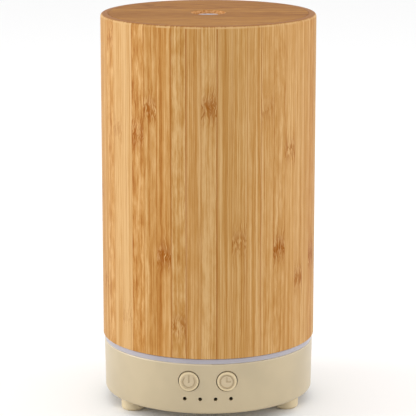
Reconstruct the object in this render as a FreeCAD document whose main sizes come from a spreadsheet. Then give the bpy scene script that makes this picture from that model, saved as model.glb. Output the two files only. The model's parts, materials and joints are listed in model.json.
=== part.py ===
import FreeCAD, Part
import math
import os
import Sketcher

# An ultrasonic essential oil diffuser: a bamboo cover over a white inner cover and a translucent
# water tank, standing on a cream base that holds the fan, the boards and the buttons.
# Millimetres, +Z up, front towards -Y, origin on the ground under the middle of the base.

SIZES = {
    # whole object, from the ground up
    "foot_height": 5.0,
    "base_height": 20.4,
    "ring_height": 1.9,
    "cover_gap": 0.2,
    "cover_height": 129.5,
    # bamboo cover
    "cover_radius": 42.5,
    "cover_wall": 4.5,
    "cover_edge_round": 1.2,
    "cover_foot_round": 0.3,
    "lid_thickness": 5.5,
    "lid_radius": 39.45,
    "lid_fit": 0.05,
    "mist_hole_radius": 6.6,
    "mist_hole_bevel": 0.4,
    # inner cover with its mist nozzle
    "rest_gap": 0.2,
    "skin": 1.6,
    "spigot_radius": 31.7,
    "spigot_depth": 4.0,
    "inner_foot_radius": 36.3,
    "inner_foot_height": 4.0,
    "inner_low_radius": 35.3,
    "inner_high_radius": 34.4,
    "shoulder_height": 67.0,
    "shoulder_round": 20.0,
    "neck_height": 73.5,
    "neck_round": 2.5,
    "nozzle_radius": 6.0,
    "nozzle_skin": 1.2,
    "nozzle_drop": 1.2,
    # water tank, with the flange that shows as the light ring
    "ring_radius": 41.85,
    "tank_radius": 34.0,
    "tank_wall": 2.0,
    "tank_height": 46.5,
    "floor_rise": 8.5,
    "floor_thickness": 2.0,
    "floor_slope": 1.5,
    "well_radius": 11.0,
    "well_depth": 2.8,
    "port_radius": 8.2,
    "port_lip": 1.5,
    "seat_radius": 12.2,
    "seat_wall": 1.4,
    "seat_depth": 2.3,
    "level_ridge": 0.3,
    "level_height": 68.0,
    "tank_corner_round": 2.5,
    "tank_rim_round": 0.6,
    "tank_foot_round": 1.0,
    "well_round": 0.8,
    "ring_round": 0.25,
    "tank_boss_radius": 2.1,
    "tank_boss_height": 6.0,
    "tank_boss_circle": 35.4,
    "pilot_radius": 0.9,
    # air pipe inside the tank
    "pipe_radius": 5.4,
    "pipe_wall": 1.2,
    "pipe_offset": 24.0,
    "pipe_top": 71.0,
    "pipe_collar_radius": 7.0,
    "pipe_collar": 1.6,
    "pipe_tail": 3.0,
    # ultrasonic transducer and what holds it
    "disc_radius": 10.0,
    "disc_thickness": 1.0,
    "disc_rise": 0.9,
    "close_fit": 0.05,
    "crystal_radius": 7.0,
    "crystal_thickness": 0.6,
    "seal_radius": 12.0,
    "seal_bore": 8.4,
    "seal_height": 2.8,
    "retainer_radius": 18.6,
    "retainer_bore": 8.6,
    "retainer_thickness": 1.5,
    "retainer_circle": 16.0,
    "retainer_boss_radius": 2.4,
    "retainer_hole_radius": 1.1,
    "retainer_grip": 4.0,
    # base housing
    "base_top_radius": 42.05,
    "base_foot_radius": 41.7,
    "base_bore": 39.8,
    "base_edge_round": 1.2,
    "deck_thickness": 2.0,
    "deck_bore": 32.5,
    "panel_offset": 38.2,
    "base_boss_radius": 3.9,
    "base_boss_circle": 36.0,
    "base_pilot_radius": 1.2,
    "base_boss_roof": 3.0,
    "base_rim_round": 0.45,
    "tank_screw_hole": 1.2,
    # bottom cover
    "plate_radius": 39.5,
    "plate_flat": 37.9,
    "plate_thickness": 2.0,
    "plate_recess": 0.4,
    "vent_width": 2.2,
    "vent_inner": 7.0,
    "vent_outer": 18.0,
    "vent_count": 12.0,
    "screw_hole_radius": 1.6,
    "screw_sink_radius": 2.9,
    "screw_sink": 1.2,
    "case_screw_shank": 1.15,
    "case_screw_length": 12.0,
    "case_screw_head": 2.6,
    "case_screw_head_height": 1.1,
    "small_screw_shank": 0.85,
    "small_screw_head": 1.9,
    "small_screw_head_height": 1.4,
    "tank_screw_length": 7.0,
    # feet
    "foot_radius": 4.75,
    "foot_circle": 34.8,
    "foot_round": 1.3,
    "foot_flare": 0.15,
    "foot_stem": 2.0,
    "foot_barb": 2.6,
    "foot_barb_height": 1.4,
    # buttons, switches and indicator holes
    "button_offset": 7.4,
    "button_level": 18.4,
    "button_radius": 3.85,
    "button_face": 42.2,
    "button_round": 0.45,
    "button_dish": 0.25,
    "button_dish_radius": 3.05,
    "button_flange": 5.0,
    "button_flange_front": 37.7,
    "button_flange_back": 37.0,
    "button_hole_radius": 4.18,
    "icon_depth": 0.3,
    "icon_line": 0.5,
    "icon_radius": 2.3,
    "indicator_level": 11.15,
    "indicator_pitch": 6.0,
    "indicator_hole_radius": 0.75,
    "switch_side": 6.0,
    "switch_depth": 3.5,
    "switch_bore": 1.75,
    "switch_bore_depth": 1.2,
    "plunger_radius": 1.6,
    "plunger_rest": 0.6,
    "indicator_led_radius": 1.5,
    "indicator_led_length": 3.2,
    # boards
    "board_thickness": 1.6,
    "button_board_front": 32.5,
    "button_board_width": 36.0,
    "button_board_low": 9.0,
    "button_board_height": 13.6,
    "button_post_offset": 15.2,
    "button_post_level": 12.5,
    "button_post_radius": 2.0,
    "button_post_length": 5.2,
    "button_post_pilot": 4.0,
    "board_hole_radius": 1.0,
    "button_screw_grip": 3.0,
    "main_board_radius": 31.6,
    "main_board_bore": 15.0,
    "main_board_flat": 30.4,
    "main_board_level": 20.0,
    "main_post_radius": 2.6,
    "main_post_circle": 26.5,
    "main_post_pilot": 8.0,
    "main_screw_grip": 5.0,
    "mood_led_side": 3.5,
    "mood_led_height": 1.6,
    "mood_led_circle": 29.2,
    "mood_led_window": 1.3,
    "mood_led_window_depth": 0.4,
    # components on the main board
    "inductor_x": 21.5,
    "inductor_y": 10.0,
    "inductor_radius": 4.2,
    "inductor_height": 7.0,
    "inductor_rim": 1.0,
    "winding_radius": 3.5,
    "capacitor_x": -21.5,
    "large_capacitor_y": 10.5,
    "large_capacitor_radius": 3.15,
    "large_capacitor_height": 9.0,
    "small_capacitor_y": 0.0,
    "small_capacitor_radius": 2.5,
    "small_capacitor_height": 7.0,
    "capacitor_groove": 0.3,
    "chip_x": -17.5,
    "chip_y": -14.5,
    "chip_length": 10.0,
    "chip_width": 4.0,
    "chip_height": 1.5,
    "chip_mark_radius": 0.5,
    "chip_mark_depth": 0.3,
    "transistor_x": 23.0,
    "transistor_y": -9.5,
    "transistor_length": 6.5,
    "transistor_width": 6.0,
    "transistor_height": 2.3,
    "sink_length": 8.0,
    "sink_width": 12.0,
    "sink_height": 5.0,
    "sink_pitch": 2.8,
    "sink_gap": 1.4,
    "sink_floor": 1.6,
    # power socket
    "jack_level": 13.5,
    "jack_width": 9.0,
    "jack_front": 25.4,
    "jack_length": 14.0,
    "jack_bottom": 9.2,
    "jack_bore": 3.0,
    "jack_bore_depth": 9.5,
    "jack_pin_radius": 1.0,
    "jack_pin_length": 8.5,
    "jack_window_radius": 4.0,
    # fan
    "fan_side": 40.0,
    "fan_depth": 10.0,
    "fan_bore": 19.0,
    "fan_lift": 0.6,
    "fan_hole_radius": 2.15,
    "fan_hole_offset": 16.0,
    "fan_post_radius": 1.9,
    "fan_hub_radius": 9.6,
    "fan_blade_tip": 18.2,
    "fan_blade_skin": 0.9,
    "fan_blade_pitch": 38.0,
    "fan_blade_count": 7.0,
    "fan_shaft_radius": 1.0,
    "fan_bearing_bore": 1.05,
    "fan_strut": 2.0,
    "fan_floor": 1.4,
    "fan_bearing_radius": 2.4,
    "fan_bearing_height": 4.6,
    "fan_bearing_floor": 0.6,
    "fan_shaft_rise": 0.8,
    "fan_rotor_rise": 1.9,
    "fan_rotor_drop": 0.6,
    "fan_cup_skin": 1.2,
    "fan_pad_radius": 3.4,
    "fan_post_drop": 0.3,
    "fan_post_pilot": 6.0,
    "fan_screw_grip": 5.0,
    "fan_screw_head": 3.0,
    "fan_screw_head_height": 1.2,
    # plug-in connectors and leads
    "plug_length": 5.0,
    "plug_depth": 5.0,
    "plug_height": 4.0,
    "button_plug_length": 8.0,
    "fan_plug_x": 26.0,
    "fan_plug_y": 11.0,
    "fan_lead_rise": 2.0,
    "disc_plug_y": 20.0,
    "disc_lead_y": 5.0,
    "button_plug_x": 10.0,
    "button_plug_y": -26.0,
    "button_lead_level": 12.0,
    "lead_radius": 0.55,
}

FRONT = -90.0  # the front's direction, in degrees about Z
FEET_TURN = 2.3  # the three feet as a set sit turned this much from the buttons' middle
FEET = {
    "foot_front_left": FRONT + FEET_TURN - 61.5,
    "foot_front_right": FRONT + FEET_TURN + 61.5,
    "foot_rear": FRONT + FEET_TURN + 180,
}
BASE_SCREWS = [FRONT + a for a in (-140, -40, 40, 140)]
TANK_SCREWS = [FRONT + a for a in (0, 120, 240)]
MAIN_POSTS = [FRONT + a for a in (0, 100, -100)]
MOOD_LEDS = [FRONT + 30 + 60 * n for n in range(6)]
INDICATORS = (-1.5, -0.5, 0.5, 1.5)  # places in a row, in steps of the indicator pitch
SIDES = (-1, 1)  # left and right, seen from the front

doc = FreeCAD.newDocument("Diffuser")
sheet = doc.addObject("Spreadsheet::Sheet", "Sizes")
for row, (alias, number) in enumerate(SIZES.items(), start=1):
    sheet.set(f"A{row}", alias)
    sheet.set(f"B{row}", str(number))
    sheet.setAlias(f"B{row}", alias)
doc.recompute()


class Size:
    """A length that knows both its number and the spreadsheet expression that gives it."""

    def __init__(self, text, number):
        self.text = text
        self.number = number

    def __add__(self, other):
        other = size(other)
        return Size(f"({self.text} + {other.text})", self.number + other.number)

    def __sub__(self, other):
        other = size(other)
        return Size(f"({self.text} - {other.text})", self.number - other.number)

    def __rsub__(self, other):
        return size(other) - self

    def __mul__(self, factor):
        return Size(f"({self.text} * {factor})", self.number * factor)

    def __neg__(self):
        return self * -1


class Sheet:
    """Gives each cell of the spreadsheet as a Size, by its alias."""

    def __getattr__(self, alias):
        return Size(f"Sizes.{alias}", float(sheet.get(alias)))


def size(value):
    return value if isinstance(value, Size) else Size(str(float(value)), float(value))


def bind(thing, **sizes):
    """Sets properties of a document object from Sizes, as expressions."""
    for name, value in sizes.items():
        value = size(value)
        setattr(thing, name, value.number)
        thing.setExpression(name, value.text)
    return thing


def place(thing, x=0, y=0, z=0, axis=(0, 0, 1), angle=0.0):
    """Turns a document object about an axis through its origin, then moves it there, as expressions."""
    moved = [size(v) for v in (x, y, z)]
    rotation = FreeCAD.Rotation(FreeCAD.Vector(*axis), angle)
    thing.Placement = FreeCAD.Placement(FreeCAD.Vector(*[v.number for v in moved]), rotation)
    for name, value in zip("xyz", moved):
        thing.setExpression(f".Placement.Base.{name}", value.text)
    return thing


def around(circle, degrees):
    """The x and y of a point on a circle about the Z axis."""
    radians = math.radians(degrees)
    return circle * round(math.cos(radians), 9), circle * round(math.sin(radians), 9)


s = Sheet()
parts = {}


def keep(label, thing):
    """Names a finished sub-part and puts it on the list that is written out."""
    thing.Label = label
    parts[label] = thing
    return thing


# PartDesign helpers


def origin_plane(body, role):
    return next(f for f in body.Origin.OriginFeatures if f.Role == role)


def new_body(label):
    return keep(label, doc.addObject("PartDesign::Body", label + "_body"))


def new_sketch(body, role, offset=0):
    """A sketch on one of the body's own planes, moved along the plane's normal."""
    sketch = body.newObject("Sketcher::SketchObject", body.Label + "_sketch")
    sketch.AttachmentSupport = (origin_plane(body, role), [""])
    sketch.MapMode = "FlatFace"
    offset = size(offset)
    sketch.AttachmentOffset = FreeCAD.Placement(FreeCAD.Vector(0, 0, offset.number), FreeCAD.Rotation())
    sketch.setExpression(".AttachmentOffset.Base.z", offset.text)
    return sketch


def pin_point(sketch, geometry, end, x, y):
    """Fixes one point of a sketch at coordinates that follow the spreadsheet."""
    for kind, value, axis in (("DistanceX", size(x), -2), ("DistanceY", size(y), -1)):
        if abs(value.number) < 1e-9:
            sketch.addConstraint(Sketcher.Constraint("PointOnObject", geometry, end, axis))
            continue
        number = sketch.addConstraint(Sketcher.Constraint(kind, -1, 1, geometry, end, value.number))
        sketch.setExpression(f"Constraints[{number}]", value.text)


def draw_outline(sketch, points):
    """A closed outline of straight edges through points given as Sizes."""
    corners = [FreeCAD.Vector(size(x).number, size(y).number, 0) for x, y in points]
    first = sketch.GeometryCount
    for n, corner in enumerate(corners):
        sketch.addGeometry(Part.LineSegment(corner, corners[(n + 1) % len(corners)]), False)
    for n, (x, y) in enumerate(points):
        following = first + (n + 1) % len(points)
        sketch.addConstraint(Sketcher.Constraint("Coincident", first + n, 2, following, 1))
        pin_point(sketch, first + n, 1, x, y)


def draw_circle(sketch, radius, x=0, y=0):
    centre = FreeCAD.Vector(size(x).number, size(y).number, 0)
    radius = size(radius)
    circle = sketch.addGeometry(Part.Circle(centre, FreeCAD.Vector(0, 0, 1), radius.number), False)
    pin_point(sketch, circle, 3, x, y)
    number = sketch.addConstraint(Sketcher.Constraint("Radius", circle, radius.number))
    sketch.setExpression(f"Constraints[{number}]", radius.text)


def draw_flatted_circle(sketch, radius, flat):
    """A circle about the origin, cut off by a straight edge at y = -flat."""
    radius, flat = size(radius), size(flat)
    half = math.sqrt(radius.number**2 - flat.number**2)
    left, right = FreeCAD.Vector(-half, -flat.number, 0), FreeCAD.Vector(half, -flat.number, 0)
    arc = sketch.addGeometry(Part.Arc(right, FreeCAD.Vector(0, radius.number, 0), left), False)
    chord = sketch.addGeometry(Part.LineSegment(left, right), False)
    sketch.addConstraint(Sketcher.Constraint("Coincident", arc, 2, chord, 1))
    sketch.addConstraint(Sketcher.Constraint("Coincident", arc, 1, chord, 2))
    sketch.addConstraint(Sketcher.Constraint("Coincident", arc, 3, -1, 1))
    sketch.addConstraint(Sketcher.Constraint("Horizontal", chord))
    number = sketch.addConstraint(Sketcher.Constraint("Radius", arc, radius.number))
    sketch.setExpression(f"Constraints[{number}]", radius.text)
    number = sketch.addConstraint(Sketcher.Constraint("DistanceY", -1, 1, chord, 1, -flat.number))
    sketch.setExpression(f"Constraints[{number}]", (-flat).text)


def turn(body, points):
    """Adds a solid of revolution about Z from an outline of (radius, height) points."""
    sketch = new_sketch(body, "XZ_Plane")
    draw_outline(sketch, points)
    made = body.newObject("PartDesign::Revolution", body.Label + "_turned")
    made.Profile = sketch
    made.ReferenceAxis = (sketch, ["V_Axis"])
    made.Angle = 360.0
    doc.recompute()
    return made


def grow(body, role, offset, length, draw, backwards=False):
    """Pads a sketch along the plane's normal, or against it."""
    sketch = new_sketch(body, role, offset)
    draw(sketch)
    made = body.newObject("PartDesign::Pad", body.Label + "_pad")
    made.Profile = sketch
    made.Reversed = backwards
    bind(made, Length=length)
    doc.recompute()
    return made


def cut_in(body, role, offset, length, draw, backwards=False):
    """Pockets a sketch against the plane's normal, or along it, and makes sure that it cut something."""
    before = body.Shape.Volume
    sketch = new_sketch(body, role, offset)
    draw(sketch)
    made = body.newObject("PartDesign::Pocket", body.Label + "_pocket")
    made.Profile = sketch
    made.Reversed = backwards
    bind(made, Length=length)
    doc.recompute()
    if before - body.Shape.Volume < 1e-3:
        raise RuntimeError(f"{made.Name} cuts nothing")
    return made


def repeat(body, feature, count):
    """Copies a feature evenly round the Z axis."""
    pattern = body.newObject("PartDesign::PolarPattern", body.Label + "_pattern")
    pattern.Originals = [feature]
    pattern.Axis = (origin_plane(body, "Z_Axis"), [""])
    pattern.Angle = 360.0
    pattern.Occurrences = int(count)
    body.Tip = pattern
    doc.recompute()
    return pattern


def circle_edges(shape, rings, along="z"):
    """Names of the circular edges with these radii at these places along an axis."""
    wanted = [(size(r).number, size(p).number) for r, p in rings]
    found = []
    for number, edge in enumerate(shape.Edges, start=1):
        curve = edge.Curve
        if not isinstance(curve, Part.Circle):
            continue
        spot = getattr(curve.Center, along)
        if any(abs(curve.Radius - r) < 0.02 and abs(spot - p) < 0.02 for r, p in wanted):
            found.append(f"Edge{number}")
    if not found:
        raise RuntimeError(f"no edge at {wanted}")
    return found


def soften(body, radius, rings, kind="Fillet", along="z"):
    """Rounds or bevels circular edges of the body."""
    tip = body.Tip
    made = body.newObject(f"PartDesign::{kind}", f"{body.Label}_{kind.lower()}")
    made.Base = (tip, circle_edges(tip.Shape, rings, along))
    bind(made, **{"Radius" if kind == "Fillet" else "Size": radius})
    doc.recompute()
    return made


# Part helpers


def block(x, y, z, at):
    """A box centred on at in x and y, standing on at in z."""
    made = bind(doc.addObject("Part::Box", "Block"), Length=x, Width=y, Height=z)
    return place(made, size(at[0]) - size(x) * 0.5, size(at[1]) - size(y) * 0.5, at[2])


def rod(radius, height, at, axis=(0, 0, 1), angle=0.0):
    """A cylinder whose base circle is centred on at."""
    made = bind(doc.addObject("Part::Cylinder", "Rod"), Radius=radius, Height=height)
    return place(made, *at, axis=axis, angle=angle)


def rod_forward(radius, length, at):
    """A cylinder that runs from at towards the front."""
    return rod(radius, length, at, axis=(1, 0, 0), angle=90.0)


def rod_back(radius, length, at):
    """A cylinder that runs from at towards the back."""
    return rod(radius, length, at, axis=(1, 0, 0), angle=-90.0)


def join(*shapes):
    made = doc.addObject("Part::MultiFuse", "Joined")
    made.Shapes = list(shapes)
    made.Refine = True
    return made


def carve(base, *tools):
    for tool in tools:
        made = doc.addObject("Part::Cut", "Carved")
        made.Base = base
        made.Tool = tool
        base = made
    return base


def group(*shapes):
    made = doc.addObject("Part::Compound", "Group")
    made.Links = list(shapes)
    return made


def screw(at, shank, length, head, head_height, axis=(0, 0, 1), angle=0.0):
    """A pan head screw: the shank runs from at along the turned Z axis, and the head lies behind it."""
    turned = FreeCAD.Rotation(FreeCAD.Vector(*axis), angle).multVec(FreeCAD.Vector(0, 0, 1))
    behind = [size(p) - size(head_height) * round(t, 9) for p, t in zip(at, turned)]
    solid = join(rod(head, head_height, behind, axis, angle), rod(shank, length, at, axis, angle))
    drive = rod(size(head) * 0.4, size(head_height) * 0.5, behind, axis, angle)
    return carve(solid, drive)


def small_screw(at, length, axis=(0, 0, 1), angle=0.0):
    """The self-tapping screw that holds the tank, the retainer and the boards."""
    head, head_height = s.small_screw_head, s.small_screw_head_height
    return screw(at, s.small_screw_shank, length, head, head_height, axis, angle)


def lead(label, points, radius):
    """An insulated wire along straight runs joined by tangent arcs."""
    points = [FreeCAD.Vector(*[size(v).number for v in p]) for p in points]
    radius = size(radius).number
    edges, start = [], points[0]
    for before, corner, after in zip(points, points[1:], points[2:]):
        back, ahead = (before - corner), (after - corner)
        reach = 0.45 * min(back.Length, ahead.Length)
        back.normalize()
        ahead.normalize()
        half_turn = (math.pi - back.getAngle(ahead)) / 2
        enter, leave = corner + back * reach, corner + ahead * reach
        bend = reach / math.tan(half_turn)
        middle = (back + ahead).normalize()
        centre = corner + middle * (bend / math.cos(half_turn))
        edges.append(Part.LineSegment(start, enter).toShape())
        edges.append(Part.Arc(enter, centre - middle * bend, leave).toShape())
        print(f"{label}: bend radius {bend:.2f} mm")
        start = leave
    edges.append(Part.LineSegment(start, points[-1]).toShape())
    path = Part.Wire(edges)
    section = Part.Wire(Part.makeCircle(radius, points[0], points[1] - points[0]))
    tube = path.makePipeShell([section], True, False)
    expected = math.pi * radius**2 * path.Length
    if abs(tube.Volume - expected) > 0.02 * expected:
        raise RuntimeError(f"{label}: volume {tube.Volume:.2f}, expected {expected:.2f}")
    made = doc.addObject("Part::Feature", label + "_tube")
    made.Shape = tube
    return keep(label, made)


# Heights that several pieces share
base_top = s.foot_height + s.base_height
ring_top = base_top + s.ring_height
cover_bottom = ring_top + s.cover_gap
cover_top = cover_bottom + s.cover_height
tank_rim = ring_top + s.tank_height
floor_top = ring_top + s.floor_rise
floor_under = floor_top - s.floor_thickness
deck_under = base_top - s.deck_thickness
well_bottom = floor_top - s.well_depth
seat_top = well_bottom - s.port_lip
seal_bottom = seat_top - s.seal_height
retainer_bottom = seal_bottom - s.retainer_thickness
disc_bottom = seat_top - s.disc_rise - s.disc_thickness
plate_under = s.foot_height + s.plate_recess
plate_top = plate_under + s.plate_thickness
fan_bottom = plate_top + s.fan_lift
fan_top = fan_bottom + s.fan_depth
board_top = s.main_board_level + s.board_thickness


# Bamboo cover


def bamboo_sleeve():
    body = new_body("bamboo_sleeve")
    bore = s.cover_radius - s.cover_wall
    seat = cover_top - s.lid_thickness
    turn(
        body,
        [
            (bore, cover_bottom),
            (s.cover_radius, cover_bottom),
            (s.cover_radius, cover_top),
            (s.lid_radius + s.lid_fit, cover_top),
            (s.lid_radius + s.lid_fit, seat),
            (bore, seat),
        ],
    )
    soften(body, s.cover_edge_round, [(s.cover_radius, cover_top)])
    soften(body, s.cover_foot_round, [(s.cover_radius, cover_bottom), (bore, cover_bottom)])


def bamboo_top():
    body = new_body("bamboo_top")
    seat = cover_top - s.lid_thickness
    turn(
        body,
        [
            (s.mist_hole_radius, seat),
            (s.lid_radius, seat),
            (s.lid_radius, cover_top),
            (s.mist_hole_radius, cover_top),
        ],
    )
    hole = [(s.mist_hole_radius, cover_top), (s.mist_hole_radius, seat)]
    soften(body, s.mist_hole_bevel, hole, kind="Chamfer")


# Inner cover: a tall white bell whose nozzle ends just under the hole in the bamboo


def inner_cover():
    body = new_body("inner_cover")
    nozzle_top = cover_top - s.nozzle_drop
    rim = tank_rim + s.rest_gap
    shoulder = tank_rim + s.shoulder_height
    neck = tank_rim + s.neck_height
    nozzle_bore = s.nozzle_radius - s.nozzle_skin
    turn(
        body,
        [
            (s.spigot_radius - s.skin, tank_rim - s.spigot_depth),
            (s.spigot_radius, tank_rim - s.spigot_depth),
            (s.spigot_radius, rim),
            (s.inner_foot_radius, rim),
            (s.inner_foot_radius, tank_rim + s.inner_foot_height),
            (s.inner_low_radius, tank_rim + s.inner_foot_height + s.skin * 0.4),
            (s.inner_high_radius, shoulder),
            (s.nozzle_radius, neck),
            (s.nozzle_radius, nozzle_top),
            (nozzle_bore, nozzle_top),
            (nozzle_bore, neck - s.skin),
            (s.inner_high_radius - s.skin, shoulder - s.skin),
            (s.inner_low_radius - s.skin, tank_rim + s.skin),
            (s.spigot_radius - s.skin, tank_rim + s.skin),
        ],
    )
    soften(body, s.shoulder_round, [(s.inner_high_radius, shoulder)])
    soften(body, s.shoulder_round - s.skin, [(s.inner_high_radius - s.skin, shoulder - s.skin)])
    soften(body, s.neck_round, [(s.nozzle_radius, neck)])
    soften(body, s.nozzle_skin * 0.4, [(s.nozzle_radius, nozzle_top), (s.inner_foot_radius, rim)])


# Water tank


def water_tank():
    body = new_body("water_tank")
    bore = s.tank_radius - s.tank_wall
    level = s.level_height
    turn(
        body,
        [
            (bore, base_top),
            (s.ring_radius, base_top),
            (s.ring_radius, ring_top),
            (s.tank_radius, ring_top),
            (s.tank_radius, tank_rim),
            (bore, tank_rim),
            (bore, level + s.level_ridge),
            (bore - s.level_ridge, level),
            (bore, level - s.level_ridge),
            (bore, floor_top + s.floor_slope),
            (s.well_radius, floor_top),
            (s.well_radius, well_bottom),
            (s.port_radius, well_bottom),
            (s.port_radius, seat_top),
            (s.seat_radius, seat_top),
            (s.seat_radius, seat_top - s.seat_depth),
            (s.seat_radius + s.seat_wall, seat_top - s.seat_depth),
            (s.seat_radius + s.seat_wall, floor_under),
            (bore, floor_under),
        ],
    )
    soften(body, s.tank_corner_round, [(bore, floor_top + s.floor_slope)])
    soften(body, s.well_round, [(s.well_radius, floor_top)])
    soften(body, s.tank_rim_round, [(s.tank_radius, tank_rim), (bore, tank_rim)])
    soften(body, s.ring_round, [(s.ring_radius, ring_top)])
    soften(body, s.tank_foot_round, [(s.tank_radius, ring_top)])

    def on_tank_circle(radius):
        return lambda sketch: draw_circle(sketch, radius, *around(s.tank_boss_circle, TANK_SCREWS[0]))

    def on_retainer_circle(radius):
        return lambda sketch: draw_circle(sketch, radius, *around(s.retainer_circle, FRONT))

    overlap = s.floor_thickness * 0.25
    height = s.ring_height + s.tank_boss_height - overlap
    boss = grow(body, "XY_Plane", base_top + overlap, height, on_tank_circle(s.tank_boss_radius))
    repeat(body, boss, len(TANK_SCREWS))
    pilot = cut_in(body, "XY_Plane", base_top, s.tank_boss_height, on_tank_circle(s.pilot_radius), True)
    repeat(body, pilot, len(TANK_SCREWS))
    height = floor_under - seal_bottom
    foot = grow(body, "XY_Plane", seal_bottom, height + overlap, on_retainer_circle(s.retainer_boss_radius))
    repeat(body, foot, len(TANK_SCREWS))
    pilot = cut_in(body, "XY_Plane", seal_bottom, height, on_retainer_circle(s.pilot_radius), True)
    repeat(body, pilot, len(TANK_SCREWS))

    def pipe_hole(sketch):
        draw_circle(sketch, s.pipe_radius + s.close_fit, 0, s.pipe_offset)

    cut_in(body, "XY_Plane", floor_under, s.floor_thickness + s.floor_slope, pipe_hole, True)


def air_pipe():
    collar = floor_under - s.pipe_collar
    low = collar - s.pipe_tail
    outside = join(
        rod(s.pipe_radius, s.pipe_top - low, (0, s.pipe_offset, low)),
        rod(s.pipe_collar_radius, s.pipe_collar, (0, s.pipe_offset, collar)),
    )
    bore = rod(s.pipe_radius - s.pipe_wall, s.pipe_top - low, (0, s.pipe_offset, low))
    keep("air_pipe", carve(outside, bore))


# Ultrasonic transducer


def transducer():
    fit = s.close_fit
    plate = rod(s.disc_radius, s.disc_thickness, (0, 0, disc_bottom))
    crystal = rod(s.crystal_radius, s.crystal_thickness, (0, 0, disc_bottom - s.crystal_thickness))
    keep("transducer_disc", join(plate, crystal))
    seal = new_body("transducer_seal")
    groove = s.disc_radius + fit
    turn(
        seal,
        [
            (s.seal_bore, seal_bottom),
            (s.seal_radius, seal_bottom),
            (s.seal_radius, seat_top),
            (s.seal_bore, seat_top),
            (s.seal_bore, disc_bottom + s.disc_thickness + fit),
            (groove, disc_bottom + s.disc_thickness + fit),
            (groove, disc_bottom - fit),
            (s.seal_bore, disc_bottom - fit),
        ],
    )
    retainer = new_body("transducer_retainer")
    turn(
        retainer,
        [
            (s.retainer_bore, retainer_bottom),
            (s.retainer_radius, retainer_bottom),
            (s.retainer_radius, seal_bottom),
            (s.retainer_bore, seal_bottom),
        ],
    )

    def screw_hole(sketch):
        draw_circle(sketch, s.retainer_hole_radius, *around(s.retainer_circle, FRONT))

    hole = cut_in(retainer, "XY_Plane", retainer_bottom, s.retainer_thickness, screw_hole, True)
    repeat(retainer, hole, len(TANK_SCREWS))
    screws = []
    for degrees in TANK_SCREWS:
        at = (*around(s.retainer_circle, degrees), retainer_bottom)
        screws.append(small_screw(at, s.retainer_thickness + s.retainer_grip))
    keep("retainer_screws", group(*screws))


# Base housing: one shell with its deck, screw bosses, button panel and power socket window


def base_housing():
    body = new_body("base_housing")
    turn(
        body,
        [
            (0, s.foot_height),
            (s.base_foot_radius, s.foot_height),
            (s.base_top_radius, base_top),
            (0, base_top),
        ],
    )
    cut_in(
        body,
        "XY_Plane",
        s.foot_height,
        s.base_height - s.deck_thickness,
        lambda sketch: draw_flatted_circle(sketch, s.base_bore, s.panel_offset),
        True,
    )
    cut_in(body, "XY_Plane", base_top, s.deck_thickness, lambda sketch: draw_circle(sketch, s.deck_bore))
    soften(body, s.base_edge_round, [(s.base_foot_radius, s.foot_height)])
    soften(body, s.base_rim_round, [(s.base_top_radius, base_top)])

    def four(radius):
        def draw(sketch):
            for degrees in BASE_SCREWS:
                draw_circle(sketch, radius, *around(s.base_boss_circle, degrees))

        return draw

    boss_length = deck_under - plate_top
    grow(body, "XY_Plane", plate_top, boss_length, four(s.base_boss_radius))
    cut_in(body, "XY_Plane", plate_top, boss_length - s.base_boss_roof, four(s.base_pilot_radius), True)

    def tank_holes(sketch):
        for degrees in TANK_SCREWS:
            draw_circle(sketch, s.tank_screw_hole, *around(s.tank_boss_circle, degrees))

    cut_in(body, "XY_Plane", base_top, s.deck_thickness, tank_holes)

    def posts(radius):
        def draw(sketch):
            for side in (-1, 1):
                draw_circle(sketch, radius, s.button_post_offset * side, s.button_post_level)

        return draw

    grow(body, "XZ_Plane", s.button_board_front, s.button_post_length, posts(s.button_post_radius))
    cut_in(body, "XZ_Plane", s.button_board_front, s.button_post_pilot, posts(s.pilot_radius), True)

    def front_holes(sketch):
        for side in (-1, 1):
            draw_circle(sketch, s.button_hole_radius, s.button_offset * side, s.button_level)
        for step in INDICATORS:
            draw_circle(sketch, s.indicator_hole_radius, s.indicator_pitch * step, s.indicator_level)

    def jack_window(sketch):
        draw_circle(sketch, s.jack_window_radius, 0, s.jack_level)

    through_wall = (s.base_top_radius - s.panel_offset) * 1.5
    cut_in(body, "XZ_Plane", s.base_top_radius, through_wall, front_holes)
    cut_in(body, "XZ_Plane", -s.base_top_radius, through_wall, jack_window, True)


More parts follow.
